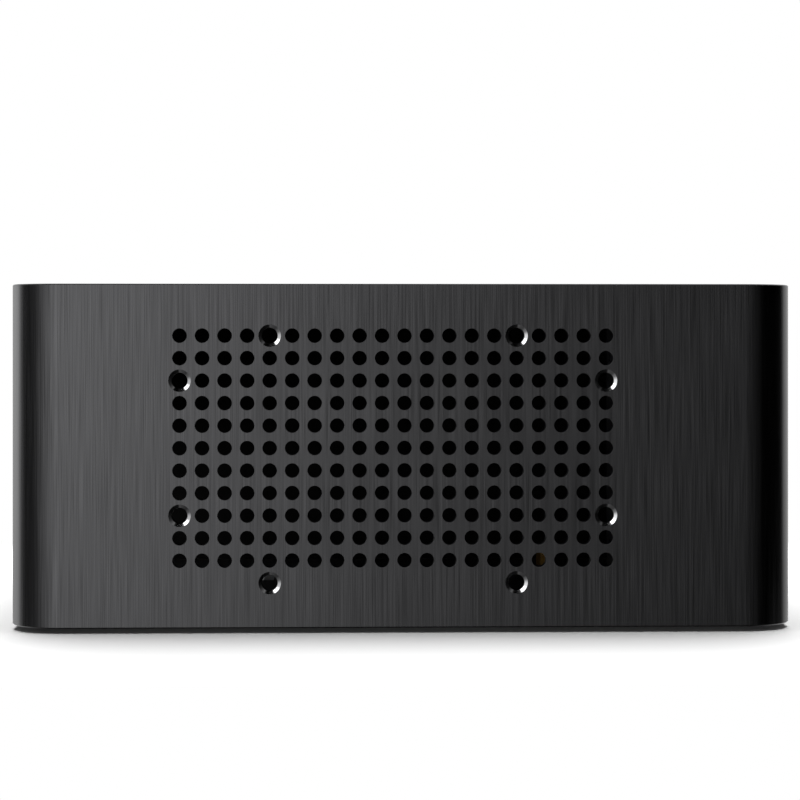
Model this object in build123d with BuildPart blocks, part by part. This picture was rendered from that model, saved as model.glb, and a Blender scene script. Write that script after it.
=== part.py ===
from build123d import *
import os
from math import pi, sin, sqrt

os.makedirs("parts", exist_ok=True)

# Small desktop computer case for one mini-ITX board.
# An extruded aluminium ring stands upright, closed by a flush plate above and one below.
# +X is the front, -Y the vented side, +Z up. The origin is the middle of the footprint,
# on the surface that the feet stand on. All sizes are millimetres.

# Ring of the case
case_width = 229.0
case_depth = 210.0
ring_height = 99.5
corner_radius = 15.0
wall = 3.0
edge_break = 0.3

# Round details that no mount measures have flat sides, to save facets. The flats lie at the true radius.
small_sides = 8
large_sides = 16

# Plates above and below, and the play that lets them into the ring
foot_height = 1.5
foot_radius = 7.0
foot_inset = 27.0
top_thickness = 2.5
base_thickness = 2.0
plate_play = 0.15

# Screw ports in the corners of the ring
port_radius = 3.75
port_reach = 7.5
port_web = 5.0

# Screws: M3 with a flat head, and M2.5 with a low round head
tapped_radius = 1.25
screw_play = 0.05
head_radius = 2.9
head_rim = 0.1
screw_hole = 1.6
plate_screw_length = 8.0
panel_screw_length = 6.0
bracket_screw_length = 5.0

# Vent in the side wall: eight-sided holes, whose area is that of a round one
vent_pitch = 6.5
vent_columns = 20
vent_rows = 11
vent_radius = 2.05
vent_sides = 8
vent_middle = -3.0
vent_below_middle = 1.0
fan_columns = (4, 15)
bracket_rows = (2, 8)
fan_hole_radius = 2.25
fan_sink_radius = 3.2

# Board, by the standard for 170 mm boards
board_thickness = 1.57
hole_from_panel = 12.27
hole_span_x = 154.94
hole_past_aperture = 3.89
rear_hole_step = 22.86
standoff_height = 6.5
standoff_width = 5.0
standoff_shank = 2.0

# Rear panel and the window in the ring that shows it
sheet = 1.2
bend_radius = 1.6
panel_side_gap = 1.0
panel_lap = 6.0
window_margin = 3.625
window_radius = 4.0
window_rise = 5.0
window_drop = 9.0
panel_gap_below = 0.5
panel_gap_above = 1.0
aperture_height = 44.45
aperture_drop = 3.81
aperture_from_hole = 5.16
panel_screw_side = 3.5
panel_screw_rise = 21.0
panel_screw_drop = 17.5
nut_radius = 2.75
nut_length = 1.9
panel_slot_width = 3.0
panel_slot_pitch = 7.0
slot_above_aperture = 9.8
slot_below_window = 6.0
slot_from_antenna = 16.0
antenna_radius = 3.25
antenna_inset = 25.0
inlet_radius = 5.5
inlet_inset = 10.0
plug_play = 0.1
plug_lip = 1.5
plug_lip_height = 1.0

# Slots in the base
base_slot_width = 4.0
base_slot_pitch = 10.0
base_slot_inset = 43.0
base_rib_width = 36.0
slot_from_panel = 28.0
slot_from_drive_foot = 22.0

# Bracket for one 2.5-inch drive
drive_from_front = 37.7
drive_from_side = 80.0
drive_bracket_width = 94.0
drive_room_above = 8.5
drive_foot = 11.0
drive_span_y = 76.6
drive_span_z = 61.72
drive_lift = 1.25
drive_hole = 1.6
drive_slot_width = 4.0
drive_slot_height = 40.0
drive_slot_pitch = 16.0
drive_slot_count = 4
drive_screw_inset = 10.0

# Front board with its two sockets, on a folded bracket
io_from_front = 32.5
io_from_side = 72.0
io_bracket_width = 50.0
io_shelf_depth = 13.0
io_foot = 9.0
io_shelf_height = 12.5
io_board_thickness = 1.6
io_board_inset = 5.0
io_board_width = 50.0
io_board_gap = 1.5
io_screw_span = 36.0
io_foot_screw_span = 36.0
io_screw_length = 6.0
io_screw_core = 1.0
io_screw_hole = 1.35
io_screw_head = 2.3
io_screw_head_height = 1.5
socket_wide = 13.1
socket_high = 5.7
socket_long = 14.0
socket_wall = 0.4
socket_setback = 0.3
socket_play = 0.25
insert_play = 0.05
socket_spacing = 22.0
tongue_wide = 11.1
tongue_thick = 1.8
tongue_lift = 1.0
tongue_setback = 1.0
socket_block = 5.0
contact_wide = 1.0
contact_thick = 0.15
contact_long = 6.5
contact_pitch = 2.5
contact_count = 4
header_depth = 5.0
header_width = 25.0
header_height = 6.5
header_wall = 0.8
header_floor = 1.5
header_inset = 2.0

# Power button: a 16 mm metal switch let into the front wall
button_from_side = 35.0
button_rise = 20.5
flange_radius = 9.0
flange_thickness = 1.5
flange_play = 0.2
barrel_radius = 7.95
barrel_play = 0.1
barrel_length = 17.0
button_radius = 6.0
button_play = 0.12
button_thickness = 4.0
button_setback = 0.3
button_edge = 0.4
cap_spare = 0.5
button_travel = 1.5
stem_radius = 2.0
stem_length = 6.5
stem_spare = 1.0
light_inner = 6.8
light_outer = 7.8
light_depth = 1.0
light_play = 0.05
ring_nut_width = 19.0
ring_nut_thickness = 3.0
terminal_count = 4
terminal_spread = 4.5
terminal_length = 6.0
terminal_width = 2.0
terminal_thickness = 0.5

# Places worked out from the sizes above
half_width = case_width / 2
half_depth = case_depth / 2
ring_bottom = foot_height
ring_top = foot_height + ring_height
base_top = ring_bottom + base_thickness
cover_bottom = ring_top - top_thickness
inner_width = case_width - 2 * wall
inner_depth = case_depth - 2 * wall
inner_radius = corner_radius - wall
panel_outer = -half_width + wall
panel_inner = panel_outer + sheet
front_inner = half_width - wall
corner_x = half_width - corner_radius
corner_y = half_depth - corner_radius
port_x = corner_x + port_reach / sqrt(2)
port_y = corner_y + port_reach / sqrt(2)
port_places = [(x, y) for x in (-port_x, port_x) for y in (-port_y, port_y)]
core_radius = tapped_radius - screw_play
board_bottom = base_top + standoff_height
panel_width = 2 * (half_depth - corner_radius - panel_side_gap)
window_width = panel_width - 2 * panel_lap
aperture_width = window_width - 2 * window_margin
hole_c_y = aperture_width / 2 - aperture_from_hole
far_hole_y = -aperture_width / 2 - hole_past_aperture
hole_c_x = panel_inner + hole_from_panel
standoff_places = [
    (hole_c_x, hole_c_y),
    (hole_c_x + rear_hole_step, far_hole_y),
    (hole_c_x + hole_span_x, hole_c_y),
    (hole_c_x + hole_span_x, far_hole_y),
]
aperture_bottom = board_bottom + board_thickness - aperture_drop
panel_bottom = base_top + panel_gap_below
panel_top = cover_bottom - panel_gap_above
window_bottom = ring_bottom + window_rise
window_top = ring_top - window_drop
window_height = window_top - window_bottom
panel_screw_y = window_width / 2 + panel_screw_side
panel_screw_heights = (panel_bottom + panel_screw_rise, panel_top - panel_screw_drop)
panel_screw_places = [(y, z) for y in (-panel_screw_y, panel_screw_y) for z in panel_screw_heights]
slot_row_bottom = aperture_bottom + aperture_height + slot_above_aperture
slot_row_top = window_top - slot_below_window
upper_row = (slot_row_bottom + slot_row_top) / 2
antenna_y = window_width / 2 - antenna_inset
inlet_y = inlet_inset - window_width / 2
panel_slot_count = 2 * int((antenna_y - slot_from_antenna) / panel_slot_pitch)


# Screw holes for a fan stand on the first row and one fan spacing below it. The outer four hold a bracket.
fan_step = fan_columns[1] - fan_columns[0]
fan_middle_height = ring_bottom + ring_height / 2 - vent_below_middle


def vent_place(column, row):
    """Where one place of the vent's grid lies on the side wall, as X and Z."""
    x = vent_middle + (column - (vent_columns - 1) / 2) * vent_pitch
    return (x, fan_middle_height + (fan_step / 2 - row) * vent_pitch)


fan_cells = [(column, row) for column in fan_columns for row in (0, fan_step)]
side_cells = [(column, row) for column in (0, vent_columns - 1) for row in bracket_rows]
large_cells = fan_cells + side_cells
vent_cells = [(c, r) for r in range(vent_rows) for c in range(vent_columns)]
large_places = [vent_place(*cell) for cell in large_cells]
small_places = [vent_place(*cell) for cell in vent_cells if cell not in large_cells]
vent_corner_radius = vent_radius * sqrt(2 * pi / (vent_sides * sin(2 * pi / vent_sides)))

# Base slots and the drive bracket
drive_bracket_face = front_inner - drive_from_front
drive_bracket_back = drive_bracket_face + sheet
drive_bracket_middle = drive_from_side - half_depth
drive_bracket_top = cover_bottom - drive_room_above
drive_centre_height = (base_top + drive_bracket_top) / 2 + drive_lift
first_slot_x = panel_inner + slot_from_panel
slot_room = drive_bracket_back - drive_foot - slot_from_drive_foot - first_slot_x
base_slot_count = int(slot_room / base_slot_pitch) + 1
base_slot_middle = first_slot_x + (base_slot_count - 1) * base_slot_pitch / 2
base_slot_end = half_depth - base_slot_inset
base_slot_length = base_slot_end - base_rib_width / 2
base_slot_spread = base_slot_end + base_rib_width / 2

# Front board and sockets
io_bracket_back = front_inner - io_from_front
io_bracket_middle = half_depth - io_from_side
io_board_back = io_bracket_back + io_board_inset
header_back = io_board_back + header_inset
io_shelf_top = base_top + io_shelf_height
io_board_top = io_shelf_top + io_board_thickness
io_board_front = front_inner - io_board_gap
io_board_depth = io_board_front - io_board_back
socket_centre = io_board_top + socket_high / 2
socket_front = half_width - socket_setback
socket_places = [io_bracket_middle - socket_spacing / 2, io_bracket_middle + socket_spacing / 2]
shelf_back = io_bracket_back + io_foot
shelf_front = shelf_back + io_shelf_depth
io_bracket_front = shelf_front + io_foot
io_screw_x = (shelf_back + shelf_front) / 2
io_screw_places = [
    (io_screw_x, io_bracket_middle - io_screw_span / 2),
    (io_screw_x, io_bracket_middle + io_screw_span / 2),
]
button_place = (half_depth - button_from_side, base_top + button_rise)
front_view = Plane(origin=(half_width, 0, 0), x_dir=(0, 1, 0), z_dir=(1, 0, 0))
flange_back = half_width - flange_thickness
button_face = half_width - button_setback


def disc(radius, sides=small_sides, mode=Mode.ADD):
    """A flat-sided disc in the sketch that is open, its flats at the true radius."""
    return RegularPolygon(radius, sides, major_radius=False, mode=mode)


def sunk_pin(top_radius, radius, length):
    """A pin down from the origin along -Z, with a thin rim and a 90 degree cone at its top. It is a
    flat-head screw, or the tool that cuts the hole for one."""
    cone_height = top_radius - radius
    with BuildPart() as pin:
        with BuildSketch():
            disc(top_radius)
        extrude(amount=-(head_rim + cone_height))
        chamfer(pin.faces().sort_by(Axis.Z)[0].edges(), cone_height)
        with BuildSketch():
            disc(radius)
        extrude(amount=-length)
    return pin.part


def cut_screw_holes(places, depth):
    """Cut the sunk holes of the flat-head screws out of the part that is open, at each plane or location."""
    hole = sunk_pin(head_radius + screw_play, screw_hole, depth)
    with Locations(*places):
        add(hole, mode=Mode.SUBTRACT)


def write(part, name):
    """Label one finished piece and write it as a STEP file of the same name."""
    part.label = name
    export_step(part, f"parts/{name}.step")


from_below = (0, 0, -1)
from_behind = (-1, 0, 0)
panel_screw_planes = [Plane(origin=(-half_width, y, z), z_dir=from_behind) for y, z in panel_screw_places]
cover_screw_planes = [Plane(origin=(x, y, ring_top)) for x, y in port_places]
base_screw_planes = [Plane(origin=(x, y, ring_bottom), z_dir=from_below) for x, y in port_places]

# The ring: one vertical extrusion with its screw ports, cut back at both ends for the plates
with BuildPart() as shell:
    with BuildSketch(Plane.XY.offset(ring_bottom)):
        RectangleRounded(case_width, case_depth, corner_radius)
        RectangleRounded(inner_width, inner_depth, inner_radius, mode=Mode.SUBTRACT)
    extrude(amount=ring_height)
    chamfer(shell.faces().sort_by(Axis.Z)[-1].outer_wire().edges(), edge_break)
    chamfer(shell.faces().sort_by(Axis.Z)[0].outer_wire().edges(), edge_break)

    with BuildSketch(Plane.XY.offset(base_top)):
        for x, y in port_places:
            side_x = 1 if x > 0 else -1
            side_y = 1 if y > 0 else -1
            with Locations((x, y)):
                Circle(port_radius)
            with Locations(Location((x, y), side_x * side_y * 45)):
                Rectangle(
                    inner_radius - port_reach + wall / 2,
                    port_web,
                    align=(Align.MIN if side_x > 0 else Align.MAX, Align.CENTER),
                )
        with Locations(*port_places):
            disc(tapped_radius, mode=Mode.SUBTRACT)
    extrude(amount=cover_bottom - base_top)

    # Window at the rear, in front of the panel
    with BuildSketch(Plane.YZ.offset(-half_width)):
        with Locations((0, window_bottom + window_height / 2)):
            RectangleRounded(window_width, window_height, window_radius)
    extrude(amount=wall, mode=Mode.SUBTRACT)
    cut_screw_holes(panel_screw_planes, wall)

    # Front wall: seat and hole of the power switch, and two socket openings
    with BuildSketch(front_view):
        with Locations(button_place):
            disc(flange_radius + flange_play, large_sides)
    extrude(amount=-flange_thickness, mode=Mode.SUBTRACT)
    with BuildSketch(front_view):
        with Locations(button_place):
            disc(barrel_radius + barrel_play, large_sides)
        for y in socket_places:
            with Locations((y, socket_centre)):
                Rectangle(socket_wide + 2 * socket_play, socket_high + 2 * socket_play)
    extrude(amount=-wall, mode=Mode.SUBTRACT)

    # Screw holes of the vented side, then its small holes
    fan_sink = sunk_pin(fan_sink_radius, fan_hole_radius + screw_play, head_rim)
    with Locations(*[Plane(origin=(x, -half_depth, z), z_dir=(0, -1, 0)) for x, z in large_places]):
        add(fan_sink, mode=Mode.SUBTRACT)
    with BuildSketch(Plane.XZ.offset(half_depth)):
        with Locations(*large_places):
            Circle(fan_hole_radius)
        with Locations(*small_places):
            RegularPolygon(vent_corner_radius, vent_sides, rotation=180 / vent_sides)
    extrude(amount=-wall, mode=Mode.SUBTRACT, clean=False)
write(shell.part, "shell")


# Plates above and below, let into the ring
plate_width = inner_width - 2 * plate_play
plate_depth = inner_depth - 2 * plate_play
plate_radius = inner_radius - plate_play

with BuildPart() as top_cover:
    with BuildSketch(Plane.XY.offset(cover_bottom)):
        RectangleRounded(plate_width, plate_depth, plate_radius)
    extrude(amount=top_thickness)
    chamfer(top_cover.faces().sort_by(Axis.Z)[-1].edges(), edge_break)
    cut_screw_holes(cover_screw_planes, top_thickness)
write(top_cover.part, "top_cover")

drive_screw_y = drive_bracket_width / 2 - drive_screw_inset
drive_screw_x = drive_bracket_back - drive_foot / 2
drive_screw_places = [
    (drive_screw_x, drive_bracket_middle + offset_y) for offset_y in (-drive_screw_y, 0, drive_screw_y)
]
io_foot_back = io_bracket_back + io_foot / 2 - sheet / 2
io_foot_front = io_bracket_front - io_foot / 2 + sheet / 2
io_foot_screw_places = [
    (io_foot_back, io_bracket_middle - io_foot_screw_span / 2),
    (io_foot_front, io_bracket_middle + io_foot_screw_span / 2),
]
drive_screw_planes = [Plane(origin=(x, y, ring_bottom), z_dir=from_below) for x, y in drive_screw_places]
io_foot_screw_planes = [Plane(origin=(x, y, ring_bottom), z_dir=from_below) for x, y in io_foot_screw_places]

with BuildPart() as base_plate:
    with BuildSketch(Plane.XY.offset(ring_bottom)):
        RectangleRounded(plate_width, plate_depth, plate_radius)
        with Locations((base_slot_middle, 0)):
            with GridLocations(base_slot_pitch, base_slot_spread, base_slot_count, 2):
                Rectangle(base_slot_width, base_slot_length, mode=Mode.SUBTRACT)
        with Locations(*standoff_places):
            disc(standoff_shank + screw_play, mode=Mode.SUBTRACT)
    extrude(amount=base_thickness)
    cut_screw_holes(base_screw_planes + drive_screw_planes + io_foot_screw_planes, base_thickness)
write(base_plate.part, "base_plate")

foot_x = half_width - foot_inset
foot_y = half_depth - foot_inset
foot_places = {
    "foot_front_left": (foot_x, -foot_y),
    "foot_front_right": (foot_x, foot_y),
    "foot_rear_left": (-foot_x, -foot_y),
    "foot_rear_right": (-foot_x, foot_y),
}
for name, (x, y) in foot_places.items():
    with BuildPart() as foot:
        with BuildSketch():
            with Locations((x, y)):
                disc(foot_radius, large_sides)
        extrude(amount=foot_height)
        chamfer(foot.faces().sort_by(Axis.Z)[0].edges(), edge_break)
    write(foot.part, name)


# Standoffs of the board, pressed into the base
with BuildPart() as board_standoffs:
    with BuildSketch(Plane.XY.offset(base_top)):
        with Locations(*standoff_places):
            RegularPolygon(standoff_width / 2, 6, major_radius=False)
    extrude(amount=standoff_height)
    with BuildSketch(Plane.XY.offset(ring_bottom)):
        with Locations(*standoff_places):
            disc(standoff_shank)
    extrude(amount=base_thickness)
    with BuildSketch(Plane.XY.offset(board_bottom)):
        with Locations(*standoff_places):
            Circle(tapped_radius)
    extrude(amount=-standoff_height, mode=Mode.SUBTRACT)
write(board_standoffs.part, "board_standoffs")


# Rear panel: the opening for the board's sockets, with vent slots and plugged holes above it
panel_height = panel_top - panel_bottom
with BuildPart() as rear_panel:
    with BuildSketch(Plane.YZ.offset(panel_outer)):
        with Locations((0, panel_bottom + panel_height / 2)):
            Rectangle(panel_width, panel_height)
        with Locations((0, aperture_bottom + aperture_height / 2)):
            Rectangle(aperture_width, aperture_height, mode=Mode.SUBTRACT)
        with Locations((0, upper_row)):
            with GridLocations(panel_slot_pitch, 0, panel_slot_count, 1):
                Rectangle(panel_slot_width, slot_row_top - slot_row_bottom, mode=Mode.SUBTRACT)
        with Locations((-antenna_y, upper_row), (antenna_y, upper_row)):
            disc(antenna_radius, mode=Mode.SUBTRACT)
        with Locations((inlet_y, upper_row)):
            disc(inlet_radius, mode=Mode.SUBTRACT)
        with Locations(*panel_screw_places):
            disc(screw_hole, mode=Mode.SUBTRACT)
    extrude(amount=sheet)
write(rear_panel.part, "rear_panel")

with BuildPart() as rear_panel_nuts:
    with BuildSketch(Plane.YZ.offset(panel_inner)):
        with Locations(*panel_screw_places):
            RegularPolygon(nut_radius, 6, major_radius=False)
            disc(tapped_radius, mode=Mode.SUBTRACT)
    extrude(amount=nut_length)
write(rear_panel_nuts.part, "rear_panel_nuts")

# Snap-in plugs close the holes that a bare case leaves unused
plug_holes = {
    "antenna_plug_left": (-antenna_y, antenna_radius),
    "antenna_plug_right": (antenna_y, antenna_radius),
    "power_inlet_plug": (inlet_y, inlet_radius),
}
for name, (y, radius) in plug_holes.items():
    with BuildPart() as plug:
        with BuildSketch(Plane.YZ.offset(panel_outer)):
            with Locations((y, upper_row)):
                disc(radius + plug_lip)
        extrude(amount=-plug_lip_height)
        chamfer(plug.faces().sort_by(Axis.X)[0].edges(), edge_break)
        with BuildSketch(Plane.YZ.offset(panel_outer)):
            with Locations((y, upper_row)):
                disc(radius - plug_play)
        extrude(amount=2 * sheet)
    write(plug.part, name)


# Bracket for a drive, folded from sheet, its foot on the base
with BuildPart() as drive_bracket:
    with BuildSketch(Plane.XZ.offset(-drive_bracket_middle)):
        with BuildLine():
            FilletPolyline(
                (drive_bracket_back - drive_foot, base_top),
                (drive_bracket_back, base_top),
                (drive_bracket_back, drive_bracket_top),
                radius=bend_radius + sheet,
            )
            offset(amount=sheet, side=Side.LEFT)
        make_face()
    extrude(amount=drive_bracket_width / 2, both=True)
    with BuildSketch(Plane.YZ.offset(drive_bracket_face)):
        with Locations((drive_bracket_middle, drive_centre_height)):
            with GridLocations(drive_span_y, drive_span_z, 2, 2):
                Circle(drive_hole)
            with GridLocations(drive_slot_pitch, 0, drive_slot_count, 1):
                Rectangle(drive_slot_width, drive_slot_height)
    extrude(amount=sheet, mode=Mode.SUBTRACT)
    with BuildSketch(Plane.XY.offset(base_top)):
        with Locations(*drive_screw_places):
            disc(tapped_radius)
    extrude(amount=sheet, mode=Mode.SUBTRACT)
write(drive_bracket.part, "drive_bracket")


# Bracket, board and sockets at the front
with BuildPart() as front_io_bracket:
    with BuildSketch(Plane.XZ.offset(-io_bracket_middle)):
        with BuildLine():
            FilletPolyline(
                (io_bracket_back, base_top),
                (shelf_back, base_top),
                (shelf_back, io_shelf_top - sheet),
                (shelf_front, io_shelf_top - sheet),
                (shelf_front, base_top),
                (io_bracket_front, base_top),
                radius=bend_radius,
            )
            offset(amount=sheet, side=Side.LEFT)
        make_face()
    extrude(amount=io_bracket_width / 2, both=True)
    with BuildSketch(Plane.XY.offset(base_top)):
        with Locations(*io_foot_screw_places):
            disc(tapped_radius)
    extrude(amount=sheet, mode=Mode.SUBTRACT)
    with BuildSketch(Plane.XY.offset(io_shelf_top)):
        with Locations(*io_screw_places):
            disc(io_screw_core + screw_play)
    extrude(amount=-sheet, mode=Mode.SUBTRACT)
write(front_io_bracket.part, "front_io_bracket")

with BuildPart() as front_io_board:
    with BuildSketch(Plane.XY.offset(io_shelf_top)):
        with Locations((io_board_back + io_board_depth / 2, io_bracket_middle)):
            Rectangle(io_board_depth, io_board_width)
        with Locations(*io_screw_places):
            disc(io_screw_hole, mode=Mode.SUBTRACT)
    extrude(amount=io_board_thickness)
write(front_io_board.part, "front_io_board")

with BuildPart() as front_io_header:
    with Locations((header_back + header_depth / 2, io_bracket_middle, io_board_top)):
        Box(header_depth, header_width, header_height, align=(Align.CENTER, Align.CENTER, Align.MIN))
    with Locations((header_back + header_depth / 2, io_bracket_middle, io_board_top + header_floor)):
        Box(
            header_depth - 2 * header_wall,
            header_width - 2 * header_wall,
            header_height,
            align=(Align.CENTER, Align.CENTER, Align.MIN),
            mode=Mode.SUBTRACT,
        )
write(front_io_header.part, "front_io_header")

# The two sockets: a metal shell, the insert with its tongue, and the contacts under the tongue
socket_back = socket_front - socket_long
inner_wide = socket_wide - 2 * socket_wall
inner_high = socket_high - 2 * socket_wall
tongue_back = socket_back + socket_block
tongue_front = socket_front - tongue_setback
tongue_middle = socket_centre + tongue_lift
contact_top = tongue_middle - tongue_thick / 2
for name, y in zip(("left", "right"), socket_places):
    with BuildPart() as socket_shell:
        with BuildSketch(Plane.YZ.offset(socket_back)):
            with Locations((y, socket_centre)):
                Rectangle(socket_wide, socket_high)
                Rectangle(inner_wide, inner_high, mode=Mode.SUBTRACT)
        extrude(amount=socket_long)
    write(socket_shell.part, f"usb_shell_{name}")

    with BuildPart() as socket_insert:
        with BuildSketch(Plane.YZ.offset(socket_back)):
            with Locations((y, socket_centre)):
                Rectangle(inner_wide - 2 * insert_play, inner_high - 2 * insert_play)
        extrude(amount=socket_block)
        with BuildSketch(Plane.YZ.offset(tongue_back)):
            with Locations((y, tongue_middle)):
                Rectangle(tongue_wide, tongue_thick)
        extrude(amount=tongue_front - tongue_back)
    write(socket_insert.part, f"usb_insert_{name}")

    with BuildPart() as socket_contacts:
        with Locations((tongue_back, y, contact_top)):
            with GridLocations(0, contact_pitch, 1, contact_count):
                Box(contact_long, contact_wide, contact_thick, align=(Align.MIN, Align.CENTER, Align.MAX))
    write(socket_contacts.part, f"usb_contacts_{name}")


# Power switch: body with its flange, button, light ring, ring nut and terminals
button_back = button_face - button_thickness
cap_floor = button_back - button_travel - cap_spare
stem_end = button_back - stem_length
stem_floor = stem_end - button_travel - stem_spare
barrel_back = flange_back - barrel_length

with BuildPart() as power_switch_body:
    with BuildSketch(Plane.YZ.offset(flange_back)):
        with Locations(button_place):
            disc(flange_radius, large_sides)
    extrude(amount=flange_thickness)
    chamfer(power_switch_body.faces().sort_by(Axis.X)[-1].edges(), edge_break)
    with BuildSketch(Plane.YZ.offset(barrel_back)):
        with Locations(button_place):
            disc(barrel_radius, large_sides)
    extrude(amount=barrel_length)
    with BuildSketch(Plane.YZ.offset(cap_floor)):
        with Locations(button_place):
            disc(button_radius + button_play, large_sides)
    extrude(amount=half_width - cap_floor, mode=Mode.SUBTRACT)
    with BuildSketch(Plane.YZ.offset(stem_floor)):
        with Locations(button_place):
            disc(stem_radius + button_play)
    extrude(amount=cap_floor - stem_floor, mode=Mode.SUBTRACT)
    with BuildSketch(Plane.YZ.offset(half_width - light_depth)):
        with Locations(button_place):
            disc(light_outer + light_play, large_sides)
            disc(light_inner - light_play, large_sides, mode=Mode.SUBTRACT)
    extrude(amount=light_depth, mode=Mode.SUBTRACT)
write(power_switch_body.part, "power_switch_body")

with BuildPart() as power_button:
    with BuildSketch(Plane.YZ.offset(button_back)):
        with Locations(button_place):
            disc(button_radius, large_sides)
    extrude(amount=button_thickness)
    chamfer(power_button.faces().sort_by(Axis.X)[-1].edges(), button_edge)
    with BuildSketch(Plane.YZ.offset(stem_end)):
        with Locations(button_place):
            disc(stem_radius)
    extrude(amount=stem_length)
write(power_button.part, "power_button")

with BuildPart() as power_light_ring:
    with BuildSketch(Plane.YZ.offset(half_width - light_depth)):
        with Locations(button_place):
            disc(light_outer, large_sides)
            disc(light_inner, large_sides, mode=Mode.SUBTRACT)
    extrude(amount=light_depth)
write(power_light_ring.part, "power_light_ring")

with BuildPart() as power_switch_nut:
    with BuildSketch(Plane.YZ.offset(front_inner - ring_nut_thickness)):
        with Locations(button_place):
            RegularPolygon(ring_nut_width / 2, 6, major_radius=False)
            disc(barrel_radius + screw_play, large_sides, mode=Mode.SUBTRACT)
    extrude(amount=ring_nut_thickness)
write(power_switch_nut.part, "power_switch_nut")

with BuildPart() as power_switch_terminals:
    with BuildSketch(Plane.YZ.offset(barrel_back)):
        with Locations(button_place):
            with PolarLocations(terminal_spread, terminal_count):
                Rectangle(terminal_thickness, terminal_width)
    extrude(amount=-terminal_length)
write(power_switch_terminals.part, "power_switch_terminals")


# Screws, one node for each set
plate_screw = sunk_pin(head_radius, core_radius, plate_screw_length)
panel_screw = sunk_pin(head_radius, core_radius, panel_screw_length)
bracket_screw = sunk_pin(head_radius, core_radius, bracket_screw_length)

with BuildPart() as top_cover_screws:
    with Locations(*cover_screw_planes):
        add(plate_screw)
write(top_cover_screws.part, "top_cover_screws")

with BuildPart() as base_plate_screws:
    with Locations(*base_screw_planes):
        add(plate_screw)
write(base_plate_screws.part, "base_plate_screws")

with BuildPart() as rear_panel_screws:
    with Locations(*panel_screw_planes):
        add(panel_screw)
write(rear_panel_screws.part, "rear_panel_screws")

with BuildPart() as drive_bracket_screws:
    with Locations(*drive_screw_planes):
        add(bracket_screw)
write(drive_bracket_screws.part, "drive_bracket_screws")

with BuildPart() as front_io_bracket_screws:
    with Locations(*io_foot_screw_planes):
        add(bracket_screw)
write(front_io_bracket_screws.part, "front_io_bracket_screws")

with BuildPart() as front_io_board_screws:
    with BuildSketch(Plane.XY.offset(io_board_top)):
        with Locations(*io_screw_places):
            disc(io_screw_head)
    extrude(amount=io_screw_head_height)
    with BuildSketch(Plane.XY.offset(io_board_top)):
        with Locations(*io_screw_places):
            disc(io_screw_core)
    extrude(amount=-(io_screw_length - io_screw_head_height))
write(front_io_board_screws.part, "front_io_board_screws")
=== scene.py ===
"""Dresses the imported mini-ITX case: a brushed black ring with its vent, plates, screws and power button.

The file is laid out as an add-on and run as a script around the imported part, which it loads as a fixed frame.
Lengths are metres in the frame of the part: +X is the front, -Y the vented side, and Z is up.
"""

from functools import partial
from math import cos, pi, radians, sqrt

import bpy
import numpy as np
from bpy.props import FloatProperty, FloatVectorProperty, IntProperty, PointerProperty
from bpy.types import Operator, Panel, PropertyGroup
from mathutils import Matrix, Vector
from mathutils.geometry import delaunay_2d_cdt


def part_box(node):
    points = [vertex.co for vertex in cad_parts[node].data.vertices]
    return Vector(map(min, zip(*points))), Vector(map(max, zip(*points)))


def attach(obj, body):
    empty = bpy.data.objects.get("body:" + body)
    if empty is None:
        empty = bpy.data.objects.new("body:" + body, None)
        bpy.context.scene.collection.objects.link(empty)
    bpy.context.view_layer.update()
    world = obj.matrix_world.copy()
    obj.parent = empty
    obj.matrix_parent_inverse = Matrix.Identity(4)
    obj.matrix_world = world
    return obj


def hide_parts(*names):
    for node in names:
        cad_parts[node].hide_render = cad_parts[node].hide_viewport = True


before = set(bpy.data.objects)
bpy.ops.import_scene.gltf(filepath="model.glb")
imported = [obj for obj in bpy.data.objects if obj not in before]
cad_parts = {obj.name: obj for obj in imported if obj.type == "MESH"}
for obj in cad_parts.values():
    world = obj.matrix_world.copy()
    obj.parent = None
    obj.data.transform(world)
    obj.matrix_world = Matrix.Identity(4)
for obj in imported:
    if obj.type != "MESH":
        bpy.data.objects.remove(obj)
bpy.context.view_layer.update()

bl_info = {
    "name": "Mini-ITX case",
    "version": (1, 0, 0),
    "blender": (4, 5, 0),
    "location": "View3D > Sidebar > Case",
    "description": "Dresses the packed case: ring, plates, screws, feet and switch, in a studio",
    "category": "Object",
}

MM = 0.001
EAST, NORTH, UP = np.eye(3)
# Points this near become one, and no divisor is smaller than the second
WELD, TINY = 2e-6, 1e-9
# Sides of circles: in vent holes, in screws and plugs, and in switch parts and feet
SMALL, MEDIUM, LARGE = 32, 48, 64
# Sides of round pieces in the CAD, whose boxes reach to their corners
CAD_FOOT_SIDES, CAD_PLUG_SIDES, CAD_HEAD_SIDES = 16, 8, 8


def ends_of(node):
    """A CAD node's lowest and highest corner."""
    return (np.array(corner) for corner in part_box(node))


RING_LOW, RING_HIGH = ends_of("shell")
COVER_LOW, COVER_HIGH = ends_of("top_cover")


def linear(hex_colour):
    """An sRGB hex colour such as "#1a1a1b" as a linear RGB tuple."""
    values = [int(hex_colour[i : i + 2], 16) / 255 for i in (1, 3, 5)]
    return tuple(v / 12.92 if v <= 0.04045 else ((v + 0.055) / 1.055) ** 2.4 for v in values)


# Sizes and colours that a user would change


def size(name, description, millimetres):
    """A size in the sidebar, given here in millimetres."""
    return FloatProperty(
        name=name, description=description, default=millimetres * MM, min=0.0, unit="LENGTH", precision=5
    )


def colour(name, description, hex_colour):
    """A colour in the sidebar, given here as sRGB hex."""
    return FloatVectorProperty(
        name=name, description=description, default=linear(hex_colour), min=0.0, max=1.0, size=3, subtype="COLOR"
    )


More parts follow.
